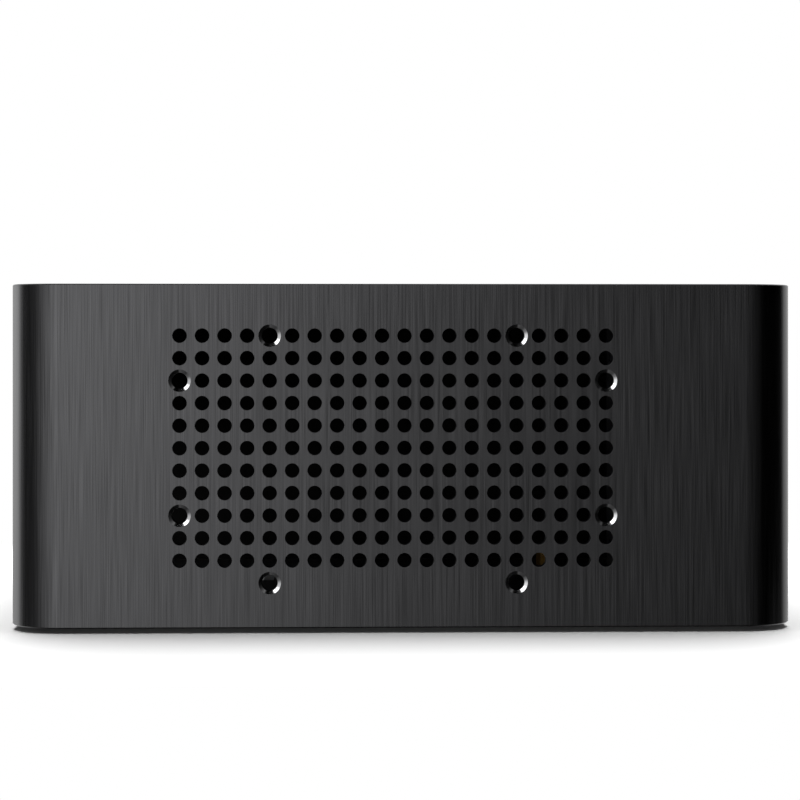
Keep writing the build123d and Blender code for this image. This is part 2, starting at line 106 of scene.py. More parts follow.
class RingSizes(PropertyGroup):
    """Sizes of the ring and of what is cut into it"""

    corner: size("Corner radius", "Outer radius of the upright corners", 15.0)
    wall: size("Wall", "Thickness of the wall", 3.0)
    edge: size("Edge break", "Width of the bevel on the outer edges", 0.3)
    pitch: size("Vent pitch", "From one vent hole to the next, both ways", 6.5)
    behind: size("Vent set back", "From the ring's middle back to the vent's", 3.0)
    fan_height: size("Fan height", "Height of the fan's middle over the floor", 50.25)
    hole: size("Vent hole", "Radius of a small vent hole", 2.05)
    rim: size("Hole rim", "Width of the broken edge round a hole", 0.08)
    screw_hole: size("Screw hole", "Radius of a large vent hole", 2.25)
    sink: size("Screw sink", "Radius of the sink round a large hole", 3.25)
    sink_width: size("Sink width", "Width of the bare cone in a sink", 0.9)
    sink_depth: size("Sink depth", "Depth of that cone", 0.46)
    sink_end: size("Sink end", "Depth at which the plain hole starts", 1.0)
    window_side: size("Window side", "Half the width of the rear window", 83.0)
    window_low: size("Window bottom", "Height of its lower edge", 6.5)
    window_top: size("Window top", "Height of its upper edge", 92.0)
    window_corner: size("Window corner", "Radius of its corners", 4.0)
    columns: IntProperty(name="Columns", description="Vent holes in a row", default=20, min=2)
    rows: IntProperty(name="Rows", description="Rows of small vent holes", default=11, min=2)


class ScrewSizes(PropertyGroup):
    """Sizes of the flat-head screws and of the ports that take them"""

    reach: size("Port reach", "From the middle of a corner to its screw", 7.5)
    port: size("Port", "Outer radius of a screw port", 3.75)
    web: size("Port web", "Half the width of the web behind a port", 2.5)
    bore: size("Port bore", "Radius of a tapped bore", 1.25)
    clearance: size("Clearance", "Radius of a plain screw hole", 1.6)
    head: size("Head", "Radius of a flat head", 2.9)
    shank: size("Shank", "Radius of a shank", 1.2)
    play: size("Head play", "Gap round a head", 0.05)
    key: size("Socket", "Half the width across flats of the hex socket", 1.0)
    key_depth: size("Socket depth", "Depth of the hex socket", 1.1)
    plate_length: size("Plate screw", "Length of a plate screw", 8.0)
    panel_length: size("Panel screw", "Length of a rear panel screw", 6.0)
    bracket_length: size("Bracket screw", "Length of a bracket screw", 5.0)
    panel_side: size("Panel screw side", "From the middle to a rear panel screw", 86.5)
    panel_low: size("Panel screw low", "Height of the lower ones", 25.0)
    panel_high: size("Panel screw high", "Height of the upper ones", 80.0)


class SwitchSizes(PropertyGroup):
    """Sizes of the power switch and the socket openings"""

    side: size("Side", "From the ring's middle to the switch", 70.0)
    height: size("Height", "Height of the switch's axis", 24.0)
    flange: size("Flange", "Radius of the flange", 9.0)
    seat: size("Seat", "Radius of the round seat in the ring", 9.2)
    flange_depth: size("Seat depth", "Depth of that seat", 1.5)
    barrel: size("Barrel", "Outer radius of the thread", 7.95)
    barrel_hole: size("Barrel hole", "Radius of the hole through the ring", 8.05)
    barrel_length: size("Barrel length", "Length of the barrel behind the flange", 17.0)
    thread: size("Thread", "Pitch of the barrel's thread", 1.0)
    button: size("Button", "Radius of the button", 6.0)
    button_play: size("Button play", "Gap round the button and its stem", 0.12)
    setback: size("Set back", "From the flange back to the button's face", 0.3)
    button_thickness: size("Button thickness", "Thickness of the button's cap", 4.0)
    dish: size("Dish", "Depth of the hollow in its face", 0.45)
    stem: size("Stem", "Radius of the stem", 2.0)
    stem_length: size("Stem length", "Length of the stem behind the cap", 6.5)
    well: size("Well", "Depth of the well for the cap", 6.3)
    stem_well: size("Stem well", "Depth of the bore for the stem", 13.3)
    light_inner: size("Light inner", "Inner radius of the light ring", 6.8)
    light_outer: size("Light outer", "Outer radius of the light ring", 7.8)
    light_depth: size("Light depth", "Depth of the light ring", 1.0)
    light_play: size("Light play", "Gap on either side of the light ring", 0.05)
    socket_wide: size("Opening width", "Half the width of a socket opening", 6.8)
    socket_high: size("Opening height", "Half its height", 3.1)


class Finishes(PropertyGroup):
    """Colours of the finishes"""

    anodised: colour("Anodised black", "Dyed oxide on ring, cover and switch", "#3a3a3b")
    # The inside is darker than the face as painted shade: it makes the ring's inner faces and the walls of its holes
    # render black
    inside: colour("Anodised inside", "Dyed oxide on the ring's unbrushed inside", "#161616")
    cut: colour("Cut aluminium", "Bare metal of the sinks", "#e0e0e2")
    powder: colour("Powder coat", "Black powder coat on the sheet steel", "#1c1c1d")
    oxide: colour("Black oxide", "Black oxide on the screws", "#343436")
    zinc: colour("Zinc plate", "Bright zinc on nuts and front bracket", "#c6c9cb")
    brass: colour("Brass", "Turned brass of the standoffs", "#8a6c38")
    rubber: colour("Rubber", "Rubber of the feet", "#151515")
    moulded: colour("Moulded black", "Black moulded plastic", "#171718")
    board: colour("Solder mask", "Green mask over the board", "#12402c")
    nickel: colour("Nickel", "Nickel plate on the socket shells", "#cfcbc3")
    gold: colour("Gold", "Gold plate on the contacts", "#e2c06f")
    lens: colour("Light ring", "Frosted clear moulding", "#e8edf2")


# Surfaces worked out with numpy


def add_object(name, data):
    """A new object in the scene, at the origin."""
    made = bpy.data.objects.new(name, data)
    bpy.context.scene.collection.objects.link(made)
    return made


class Form:
    """Patches of points with a normal at each corner, to be welded into one closed mesh."""

    def __init__(self):
        self.points, self.corners, self.normals, self.sizes, self.slots = [], [], [], [], []
        self.count = 0

    def patch(self, points, normals, faces, slot=0, sharp=False):
        """Add faces, rows of numbers into points, each turned to agree with its points' normals. A sharp patch
        takes only that hint from them: each of its faces is shaded flat."""
        points = np.asarray(points, float).reshape(-1, 3)
        normals = np.broadcast_to(np.asarray(normals, float), points.shape)
        ring = points[faces]
        arms = ring - ring[:, :1]
        area = np.cross(arms, np.roll(arms, -1, axis=1)).sum(axis=1)
        wrong = (area * normals[faces].mean(axis=1)).sum(axis=1) < 0
        faces = np.where(wrong[:, None], faces[:, ::-1], faces)
        area = np.where(wrong[:, None], -area, area)
        facing = np.broadcast_to(unit(area)[:, None], (*faces.shape, 3)) if sharp else normals[faces]
        self.points.append(points)
        self.corners.append(faces.ravel() + self.count)
        self.normals.append(facing.reshape(-1, 3))
        self.sizes.append(np.full(len(faces), faces.shape[1]))
        self.slots.append(np.full(len(faces), slot))
        self.count += len(points)

    def strip(self, points, normals, slot=0, sharp=False):
        """Add grids of points, shaped (..., rows, columns, 3), as four-sided faces."""
        rows, columns = points.shape[-3:-1]
        grids = points[..., 0].size // (rows * columns)
        start = np.arange(grids)[:, None, None] * rows * columns
        low = start + np.arange(rows - 1)[:, None] * columns + np.arange(columns - 1)
        faces = np.stack([low, low + 1, low + 1 + columns, low + columns], axis=-1).reshape(-1, 4)
        self.patch(points, np.broadcast_to(normals, points.shape).reshape(-1, 3), faces, slot, sharp)

    def piece(self, name, finishes, body, slot_name, *nodes):
        """Weld the patches into a mesh with its corner normals, and let it stand for its CAD nodes."""
        points = np.concatenate(self.points)
        corners = np.concatenate(self.corners)
        sizes = np.concatenate(self.sizes)
        _, first, welded = np.unique(np.round(points / WELD), axis=0, return_index=True, return_inverse=True)
        mesh = bpy.data.meshes.new(name)
        mesh.vertices.add(len(first))
        mesh.vertices.foreach_set("co", points[first].ravel())
        mesh.loops.add(len(corners))
        mesh.loops.foreach_set("vertex_index", welded.ravel()[corners])
        mesh.polygons.add(len(sizes))
        mesh.polygons.foreach_set("loop_start", np.cumsum(sizes) - sizes)
        mesh.polygons.foreach_set("material_index", np.concatenate(self.slots))
        mesh.polygons.foreach_set("use_smooth", np.ones(len(sizes), bool))
        mesh.update(calc_edges=True)
        mesh.normals_split_custom_set(np.concatenate(self.normals))
        for finish in finishes:
            mesh.materials.append(finish)
        made = add_object(name, mesh)
        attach(made, body)
        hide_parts(*nodes)


def unit(vectors):
    """Vectors scaled to length one."""
    return vectors / np.linalg.norm(vectors, axis=-1, keepdims=True)


class Plane:
    """A flat place in space: a point has two flat coordinates and a depth behind its face."""

    def __init__(self, origin, across, up, outward):
        self.origin, self.across, self.up, self.outward = np.array(origin), across, up, outward

    def at(self, flat, depth):
        """Points in space for flat points, shaped (..., 2), and their depths."""
        behind = np.broadcast_to(depth, flat.shape[:-1])[..., None] * self.outward
        return self.origin + flat[..., :1] * self.across + flat[..., 1:] * self.up - behind

    def facing(self, flat, out):
        """Unit vectors in space for flat vectors with a share of the outward direction."""
        return unit(flat[..., :1] * self.across + flat[..., 1:] * self.up + out * self.outward)


def directions(sides):
    """Unit vectors on a plane, evenly round a circle."""
    angle = np.arange(sides) * 2 * np.pi / sides
    return np.stack([np.cos(angle), np.sin(angle)], axis=-1)


def circle(centre, radius, sides=MEDIUM):
    """Points of a circle on a plane."""
    return np.asarray(centre) + radius * directions(sides)


def rectangle(centre, half_width, half_height):
    """Corners of a rectangle, counterclockwise."""
    signs = np.array([[-1, -1], [1, -1], [1, 1], [-1, 1]])
    return np.asarray(centre) + signs * (half_width, half_height)


def rounded(centre, half_width, half_height, radius, steps):
    """Points of a rectangle with round corners, and the direction away from it at each: a quarter circle about each
    of four corner centres, joined by straight sides."""
    angle = np.linspace(0, np.pi / 2, steps + 1) + np.arange(4)[:, None] * np.pi / 2
    away = np.stack([np.cos(angle), np.sin(angle)], axis=-1)
    signs = np.array([[1, 1], [-1, 1], [-1, -1], [1, -1]])
    middles = np.asarray(centre) + signs * (half_width - radius, half_height - radius)
    return (middles[:, None] + radius * away).reshape(-1, 2), away.reshape(-1, 2)


def flat_face(form, plane, depth, out, outline, holes=(), slot=0):
    """A flat face within an outline and outside its holes, as triangles that use just the outlines' points. A
    triangle with all three corners on one hole lies inside it and is left out. It faces out with 1, back with -1."""
    loops = [outline, *holes]
    lengths = np.array([len(loop) for loop in loops])
    points = np.concatenate(loops)
    owner = np.repeat(np.arange(len(loops)), lengths)
    first = (np.cumsum(lengths) - lengths)[owner]
    number = np.arange(len(points))
    edges = np.stack([number, first + (number - first + 1) % lengths[owner]], axis=-1)
    flat = [Vector(point) for point in (points / MM).tolist()]
    within_outline, same_point = 1, 1e-5
    _, _, faces, source, _, _ = delaunay_2d_cdt(flat, edges.tolist(), [], within_outline, same_point)
    faces = np.array([same[0] for same in source])[np.array(faces)]
    owners = owner[faces]
    in_hole = (owners.min(axis=1) > 0) & (owners.min(axis=1) == owners.max(axis=1))
    form.patch(plane.at(points, depth), out * plane.outward, faces[~in_hole], slot)


def carried(form, plane, outline, away, profile, sharp=False):
    """Carry a profile along a closed outline. Each step of the profile is how far it lies away from the outline
    and at what depth; a stretch of it faces to the right of the walk, where no metal is."""
    closed = np.concatenate([outline, outline[:1]])
    away = np.concatenate([away, away[:1]])
    for (offset, depth), (next_offset, next_depth) in zip(profile, profile[1:]):
        flat = closed + np.array([offset, next_offset])[:, None, None] * away
        depths = np.broadcast_to(np.array([depth, next_depth])[:, None], flat.shape[:-1])
        facing = plane.facing((depth - next_depth) * away, offset - next_offset)
        form.strip(plane.at(flat, depths), facing, 0, sharp)


def turned(form, plane, centres, profile, sides=MEDIUM, slots=None, smooth=False):
    """Turn a profile of (radius, depth) about each centre; a radius of 0 closes it with a fan. A smooth profile is
    shaded as one curve: the normal at a step is the mean of the two stretches that meet there."""
    centres = np.atleast_2d(np.asarray(centres, float))
    steps = np.array(profile, float)
    run, drop = np.diff(steps, axis=0).T
    lean = unit(np.stack([-drop, -run], axis=-1))
    first, last = lean, lean
    if smooth:
        mean = unit(lean[:-1] + lean[1:])
        first = np.concatenate([lean[:1], mean])
        last = np.concatenate([mean, lean[-1:]])
    away = directions(sides)
    around = np.concatenate([away, away[:1]])
    number = np.arange(sides)
    fan = np.stack([number, (number + 1) % sides, np.full(sides, sides)], axis=-1)
    for i in range(len(steps) - 1):
        slot = slots[i] if slots else 0
        pair = steps[i : i + 2]
        leans = np.stack([first[i], last[i]])
        if pair[:, 0].min() > 0:
            flat = centres[:, None, None] + pair[:, 0][:, None, None] * around
            depths = np.broadcast_to(pair[:, 1][:, None], flat.shape[:-1])
            form.strip(plane.at(flat, depths), plane.facing(leans[:, None, :1] * around, leans[:, None, 1:]), slot)
            continue
        wide = int(pair[1, 0] > pair[0, 0])
        for centre in centres:
            rim = plane.at(centre + pair[wide, 0] * away, pair[wide, 1])
            tip = plane.at(centre[None], pair[1 - wide, 1])
            normals = plane.facing(leans[wide, :1] * away, leans[wide, 1:])
            tip_normal = np.sign(leans[wide, 1]) * plane.outward
            form.patch(np.vstack([rim, tip]), np.vstack([normals, tip_normal]), fan, slot)


def arc(centre_radius, centre_depth, radius, steps):
    """Steps of a profile along a quarter circle, from straight out to the front."""
    angles = np.radians(np.linspace(0, 90, steps + 1))
    return [(centre_radius + radius * np.cos(a), centre_depth - radius * np.sin(a)) for a in angles]


# Places that pieces are set out on: first the outer faces of the ring's four walls

VENTED = Plane((0, RING_LOW[1], 0), EAST, UP, -NORTH)
FAR = Plane((0, RING_HIGH[1], 0), EAST, UP, NORTH)
REAR = Plane((RING_LOW[0], 0, 0), NORTH, UP, -EAST)
FRONT = Plane((RING_HIGH[0], 0, 0), NORTH, UP, EAST)


def level(height, out):
    """A level plane at that height which faces up with 1, or down with -1."""
    return Plane((0, 0, height), EAST, NORTH, out * UP)


def port_places(ring, screws):
    """Where the four plate screws stand: out from the middle of each corner on its diagonal."""
    reach = screws.reach / sqrt(2) - ring.corner
    x, y = RING_HIGH[0] + reach, RING_HIGH[1] + reach
    return np.array([(-x, -y), (-x, y), (x, -y), (x, y)])


def panel_places(screws):
    """Where the four rear panel screws stand on the rear wall."""
    return np.array([(s * screws.panel_side, z) for s in (-1, 1) for z in (screws.panel_low, screws.panel_high)])


def vent_places(ring):
    """Places of the small holes and the large ones, on a grid of one pitch both ways. The large ones stand on the
    fan's square, from the first row down, and on a wider rectangle that takes a side bracket."""
    fan = 11
    bracket_rows = (2, 8)
    inset = (ring.columns - 1 - fan) // 2
    large = [(c, r) for c in (inset, inset + fan) for r in (0, fan)]
    large += [(c, r) for c in (0, ring.columns - 1) for r in bracket_rows]
    small = [(c, r) for r in range(ring.rows) for c in range(ring.columns) if (c, r) not in large]

    def place(cells):
        cells = np.array(cells, float)
        x = (cells[:, 0] - (ring.columns - 1) / 2) * ring.pitch - ring.behind
        return np.stack([x, ring.fan_height + (fan / 2 - cells[:, 1]) * ring.pitch], axis=-1)

    return place(small), place(large)


def switch_place(switch):
    """Where the switch's axis meets the front wall."""
    return np.array([switch.side, switch.height])


def middle_of(node, first, last):
    """The middle of a node's box in two of its three directions."""
    low, high = ends_of(node)
    return ((low + high) / 2)[[first, last]]


# Finishes


def add_node(tree, kind, inputs=(), **settings):
    """Add one node with its settings. inputs feeds its first sockets in their order, or those that it names, each
    with a value, a socket or a node's first output."""
    made = tree.nodes.new("ShaderNode" + kind)
    for name, value in settings.items():
        setattr(made, name, value)
    for socket, value in inputs.items() if isinstance(inputs, dict) else enumerate(inputs):
        if isinstance(value, bpy.types.Node):
            value = value.outputs[0]
        if isinstance(value, bpy.types.NodeSocket):
            tree.links.new(value, made.inputs[socket])
        else:
            made.inputs[socket].default_value = value
    return made


def with_nodes(made):
    """Clear the node tree of a new material or world, and give it with the call that adds a node to it."""
    made.use_nodes = True
    made.node_tree.nodes.clear()
    return made, partial(add_node, made.node_tree)


def pattern(add, across_mm, along_mm, detail=3.0, along="Z", shift=0.0):
    """Noise with grains of that size in millimetres across and along one axis, read from Object coordinates."""
    grain = [1 / (across_mm * MM)] * 3
    grain["XYZ".index(along)] = 1 / (along_mm * MM)
    place = add("TexCoord").outputs["Object"]
    placed = add("Mapping", {"Vector": place, "Scale": grain, "Location": (shift, shift, shift)})
    return add("TexNoise", {"Vector": placed, "Scale": 1.0, "Detail": detail})


def wire_up(add, tone, swing, shade, gloss, rough, relief, sockets):
    """Finish a material. Its tone varies with shade and its roughness with gloss, each a pattern and its middle
    range; relief is a pattern, its height in mm and its strength. Map Range takes the value, the range that it
    comes in and the range that it goes to."""
    share = add("MapRange", (*shade, 1 - swing, 1 + swing))
    height, deep_mm, strength = relief
    inputs = {
        "Base Color": add("VectorMath", (tone, share), operation="MULTIPLY"),
        "Roughness": add("MapRange", (*gloss, *rough)),
        "Normal": add("Bump", {"Height": height, "Distance": deep_mm * MM, "Strength": strength}),
    }
    shader = add("BsdfPrincipled", {**inputs, **sockets})
    add("OutputMaterial", {"Surface": shader})


def coat(name, tone, across_mm, along_mm, swing, rough, bump_mm, sockets):
    """A finish whose colour, gloss and relief follow one fine noise and a coarse one laid over it."""
    made, add = with_nodes(bpy.data.materials.new(name))
    coarser = 30
    grain = pattern(add, across_mm, along_mm)
    drift = pattern(add, coarser * across_mm, coarser * along_mm, 1.0, shift=7.0)
    both = (add("Math", (grain, drift), operation="ADD"), 0.7, 1.3)
    wire_up(add, tone, swing, both, both, rough, (grain, bump_mm, 0.6), sockets)
    return made


def brushed(name, tone, along, rough):
    """Brushed and black anodised aluminium. The belt leaves fine parallel scratches along one axis, up the walls of
    the ring or along the cover. Light smears across them, single ones glint or stay dark, and broad faint bands show
    where the belt bit deeper. The finest are 0.27 mm wide, since finer ones would not show."""
    made, add = with_nodes(bpy.data.materials.new(name))
    fine = pattern(add, 0.27, 26.0, 1.0, along)
    medium = pattern(add, 0.9, 60.0, 1.0, along, 3.0)
    broad = pattern(add, 5.0, 160.0, 1.0, along, 5.0)
    bands = add("Math", (medium, broad), operation="ADD")
    faint = add("Math", (bands, 0.06), operation="MULTIPLY")
    shade = add("Math", (fine, faint), operation="ADD")
    # Across the scratches: level along the ring's walls, or straight across the cover
    if along == "Z":
        across = add("Tangent", direction_type="RADIAL", axis="Z")
    else:
        across = add("CombineXYZ", (0.0, 1.0, 0.0))
    swing = 0.37
    rough_range = (rough - 0.03, rough + 0.03)
    sockets = {"Tangent": across, "Metallic": 1.0, "Anisotropic": 0.6}
    wire_up(add, tone, swing, (shade, 0.3, 0.8), (fine, 0.25, 0.75), rough_range, (fine, 0.004, 0.5), sockets)
    return made


METAL = {"Metallic": 1.0}
MILKY = {"Subsurface Weight": 0.3, "Subsurface Scale": 0.002}
# Name, colour, grain across and along in mm, swing of the tone, range of roughness, relief in mm, more sockets
COATS = {
    # Cut after anodising: a bare, finely turned cone that flashes white where it meets the light
    "cut": ("CutAluminium", "cut", 0.2, 0.2, 0.06, (0.08, 0.12), 0.001, METAL),
    # The extrusion's inside, never brushed: dyed as it left the die and matt. It is also darker than the face as
    # painted shade, so the case's inside and the walls of its holes render black
    "inside": ("MattAnodisedInside", "inside", 0.4, 8.0, 0.2, (0.5, 0.62), 0.01, METAL),
    # Fine texture powder: matt with a dull sheen, and tiny pits as in orange peel
    "coated_steel": ("BlackPowderCoat", "powder", 0.45, 0.45, 0.12, (0.48, 0.6), 0.03, {}),
    # Black oxide: dark steel that still glints a little on its edges
    "black_screw": ("BlackOxideSteel", "oxide", 0.3, 0.3, 0.15, (0.36, 0.48), 0.004, METAL),
    # Bright zinc: bluish white metal with faint clouds from the bath
    "zinc_steel": ("ZincPlatedSteel", "zinc", 0.8, 0.8, 0.1, (0.28, 0.42), 0.004, METAL),
    # Turned brass: warm metal with close turning lines
    "brass": ("TurnedBrass", "brass", 1.5, 0.15, 0.08, (0.36, 0.5), 0.004, METAL),
    # Moulded rubber: matt black that picks up a little dust
    "rubber": ("MouldedRubber", "rubber", 0.35, 0.35, 0.2, (0.72, 0.88), 0.02, {}),
    # Moulded plastic from an eroded mould: soft even gloss
    "black_plastic": ("MouldedBlackPlastic", "moulded", 0.25, 0.25, 0.1, (0.42, 0.54), 0.008, {}),
    # Solder mask over glass cloth: glossy green, the weave faintly felt
    "circuit_board": ("SolderMask", "board", 0.5, 0.5, 0.15, (0.22, 0.34), 0.01, {}),
    # Nickel plate over rolled sheet: a warm grey mirror dulled along the roll
    "nickel_shell": ("NickelPlate", "nickel", 0.2, 6.0, 0.08, (0.2, 0.32), 0.002, METAL),
    # Gold flash on the contacts: a thin yellow mirror
    "gold_contact": ("GoldPlate", "gold", 0.3, 0.3, 0.06, (0.18, 0.3), 0.001, METAL),
    # Turned and anodised black: lines too fine to tell apart leave a soft grain under the dye
    "switch_metal": ("TurnedAnodised", "anodised", 0.2, 0.2, 0.2, (0.26, 0.38), 0.003, METAL),
    # Frosted clear moulding, unlit: milky, as the light stays inside it
    "light_ring": ("FrostedLightRing", "lens", 0.3, 0.3, 0.04, (0.3, 0.42), 0.004, MILKY),
}
FINISHES = {}


def make_finishes(tones):
    """All finishes by the name of their slot in the record, and three by names of their own."""
    tone = {name: tuple(getattr(tones, name)) for name in Finishes.__annotations__}
    FINISHES["anodised_aluminium"] = brushed("BrushedAnodised", tone["anodised"], "Z", 0.19)
    FINISHES["cover"] = brushed("BrushedAnodisedCover", tone["anodised"], "X", 0.22)
    for finish, (name, tone_name, *grain) in COATS.items():
        FINISHES[finish] = coat(name, tone[tone_name], *grain)


# The pieces

# Slots of the ring's three finishes: the outside, the cut sinks, and the inside, whose darker tone is painted shade
# on the inner faces and the walls of the holes
OUTSIDE, CUT, INSIDE_PAINTED_SHADE = 0, 1, 2


def build_ring(ring, screws, switch):
    """The ring: four flat walls and four quarter-round corners with what is cut into them, and a port in each
    corner. Walls are flat faces round the outlines of their holes; hole sides are profiles carried along these."""
    form = Form()
    low, high = RING_LOW[2], RING_HIGH[2]
    middle = (0.0, (low + high) / 2)
    half_height = (high - low) / 2
    half_x, half_y = RING_HIGH[0] - ring.corner, RING_HIGH[1] - ring.corner
    small, large = vent_places(ring)
    ends = panel_places(screws)
    axis = switch_place(switch)
    sockets = [middle_of(node, 1, 2) for node in ("usb_shell_left", "usb_shell_right")]
    window_middle = (0.0, (ring.window_low + ring.window_top) / 2)
    window_half = (ring.window_top - ring.window_low) / 2
    window, window_away = rounded(window_middle, ring.window_side, window_half, ring.window_corner, steps=10)
    openings = [rectangle(centre, switch.socket_wide, switch.socket_high) for centre in sockets]
    bevel = ring.rim
    head = screws.head + screws.play

    def vent(hole, screw_hole):
        return [circle(c, hole, SMALL) for c in small] + [circle(c, screw_hole) for c in large]

    seat_and_barrel = (switch.seat + bevel, switch.barrel_hole)
    # Each wall with half its width, the holes in its outer face and those in its inner face
    walls = (
        (VENTED, half_x, vent(ring.hole + bevel, ring.sink), vent(ring.hole, ring.screw_hole)),
        (FAR, half_x, [], []),
        (REAR, half_y, *([window, *(circle(c, radius) for c in ends)] for radius in (head, screws.clearance))),
        (FRONT, half_y, *([circle(axis, radius, LARGE), *openings] for radius in seat_and_barrel)),
    )
    for plane, half, outer_holes, inner_holes in walls:
        flat_face(form, plane, 0.0, 1, rectangle(middle, half, half_height - ring.edge), outer_holes)
        flat_face(form, plane, ring.wall, -1, rectangle(middle, half, half_height), inner_holes, INSIDE_PAINTED_SHADE)

    # The hole walls take the inside finish, whose darker tone paints the shade in the holes
    through = [(ring.hole + bevel, 0.0), (ring.hole, bevel), (ring.hole, ring.wall)]
    turned(form, VENTED, small, through, SMALL, slots=[OUTSIDE, INSIDE_PAINTED_SHADE])
    sunk = [(ring.sink, 0.0), (ring.sink - ring.sink_width, ring.sink_depth)]
    sunk += [(ring.screw_hole, ring.sink_end), (ring.screw_hole, ring.wall)]
    turned(form, VENTED, large, sunk, slots=[CUT, INSIDE_PAINTED_SHADE, INSIDE_PAINTED_SHADE])
    screw_seat = [(head, 0.0), (head, bevel), (screws.clearance, bevel + head - screws.clearance)]
    turned(form, REAR, ends, screw_seat + [(screws.clearance, ring.wall)])
    carried(form, REAR, window, window_away, [(0.0, 0.0), (0.0, ring.wall)])
    seat = [(switch.seat + bevel, 0.0), (switch.seat, bevel), (switch.seat, switch.flange_depth)]
    seat += [(switch.barrel_hole, switch.flange_depth), (switch.barrel_hole, ring.wall)]
    turned(form, FRONT, axis, seat, LARGE)
    for centre, opening in zip(sockets, openings):
        carried(form, FRONT, opening, unit(opening - centre), [(0.0, 0.0), (0.0, ring.wall)], sharp=True)

    # Round corners, then the bevelled edges and end faces all the way round
    steps = 28
    outline, away = rounded((0.0, 0.0), RING_HIGH[0], RING_HIGH[1], ring.corner, steps)
    sides = ((0.0, (low + ring.edge, high - ring.edge), 1, OUTSIDE), (ring.wall, (low, high), -1, INSIDE_PAINTED_SHADE))
    for corner in range(4):
        part = slice(corner * (steps + 1), (corner + 1) * (steps + 1))
        for inset, heights, sign, slot in sides:
            flat = outline[part] - inset * away[part]
            grid = np.stack([np.insert(flat, 2, height, axis=1) for height in heights])
            form.strip(grid, sign * np.insert(away[part], 2, 0.0, axis=1), slot)
    for height, out in ((high, 1), (low, -1)):
        profile = [(0.0, ring.edge), (-ring.edge, 0.0), (-ring.wall, 0.0)]
        carried(form, level(height, out), outline, away, profile)

    # Ports: in each direction the farther of a round tube and a web that runs into the corner
    span = COVER_LOW[2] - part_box("base_plate")[1][2]
    top = level(COVER_LOW[2], 1)
    away = directions(MEDIUM)
    web_end = 1.4 * screws.port
    for place in port_places(ring, screws):
        ahead = away @ unit(np.sign(place))
        beside = np.sqrt(np.maximum(1 - ahead**2, TINY))
        web = np.minimum(web_end / np.maximum(ahead, TINY), screws.web / beside)
        reach = np.where(ahead > 0, np.maximum(screws.port, web), screws.port)
        lobe = place + reach[:, None] * away
        carried(form, top, lobe, away, [(0.0, span), (0.0, 0.0)], sharp=True)
        turned(form, top, place, [(screws.bore, 0.0), (screws.bore, span)])
        for depth, out in ((0.0, 1), (span, -1)):
            flat_face(form, top, depth, out, lobe, [circle(place, screws.bore)])
    return form


def build_cover(ring, screws):
    """The cover: a plate with round corners, a bevelled upper edge and four sunk screw holes."""
    form = Form()
    thickness = COVER_HIGH[2] - COVER_LOW[2]
    radius = ring.corner - (RING_HIGH[0] - COVER_HIGH[0])
    places = port_places(ring, screws)
    top = level(COVER_HIGH[2], 1)
    outline, away = rounded((0.0, 0.0), COVER_HIGH[0], COVER_HIGH[1], radius, steps=24)
    carried(form, top, outline, away, [(0.0, thickness), (0.0, ring.edge), (-ring.edge, 0.0)])
    head = screws.head + screws.play
    hole = screws.clearance
    flat_face(form, top, 0.0, 1, outline - ring.edge * away, [circle(c, head) for c in places])
    flat_face(form, top, thickness, -1, outline, [circle(c, hole) for c in places])
    sunk = [(head, 0.0), (head, ring.rim), (hole, ring.rim + head - hole), (hole, thickness)]
    turned(form, top, places, sunk)
    return form


def build_flat_screws(plane, places, screws, length):
    """Flat-head screws: a cone under a thin rim, a threaded shank of stacked rings, and a hex socket."""
    form = Form()
    places = np.atleast_2d(places)
    face, edge = 0.03 * MM, 0.05 * MM
    under_rim = face + 2 * edge
    neck = under_rim + screws.head - screws.shank
    pitch = 0.5 * MM
    root = screws.shank - 0.15 * MM
    ridges = []
    for turn in range(int((length - neck) / pitch) - 1):
        ridges += [(screws.shank, length - (turn + 0.5) * pitch), (root, length - (turn + 1) * pitch)]
    head = [(screws.shank, neck), (screws.head, under_rim), (screws.head, face + edge), (screws.head - edge, face)]
    turned(form, plane, places, [(0.0, length), (root, length), *ridges, *head])
    floor = face + screws.key_depth
    for place in places:
        socket = circle(place, screws.key / cos(pi / 6), 6)
        flat_face(form, plane, face, 1, circle(place, screws.head - edge), [socket])
        carried(form, plane, socket, unit(socket - place), [(0.0, face), (0.0, floor)], sharp=True)
        flat_face(form, plane, floor, 1, socket)
    return form


def build_foot(node):
    """A round rubber foot with a rounded lower edge and a shallow hollow that grips the table."""
    form = Form()
    low, high = ends_of(node)
    radius = (high[0] - low[0]) / 2 * cos(pi / CAD_FOOT_SIDES)
    thickness = high[2] - low[2]
    rounding, hollow = 0.35 * thickness, 0.12 * thickness
    profile = [(0.0, thickness), (radius, thickness), *arc(radius - rounding, rounding, rounding, steps=8)]
    profile += [(0.72 * radius, 0.0), (0.68 * radius, hollow), (0.0, hollow)]
    turned(form, level(low[2], -1), middle_of(node, 0, 1), profile, LARGE)
    return form


def build_plug(node):
    """A snap-in plug seen from the rear: a low domed lip, whose fall grows as the fourth power of the radius, and a
    neck through the panel."""
    form = Form()
    low, high = ends_of(node)
    plane = Plane((low[0], 0, 0), NORTH, UP, -EAST)
    centre = middle_of(node, 1, 2)
    radius = (high[1] - low[1]) / 2 * cos(pi / CAD_PLUG_SIDES)
    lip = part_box("rear_panel")[0][0] - low[0]
    neck = radius - 1.6 * MM
    reach = high[0] - low[0]
    edge = 0.45 * lip
    dome = [(radius * share, edge * share**4) for share in np.linspace(1.0, 0.0, 12)]
    sides = [(0.0, reach), (neck, reach), (neck, lip), (radius, lip), (radius, edge)]
    turned(form, plane, centre, sides)
    turned(form, plane, centre, dome, smooth=True)
    return form


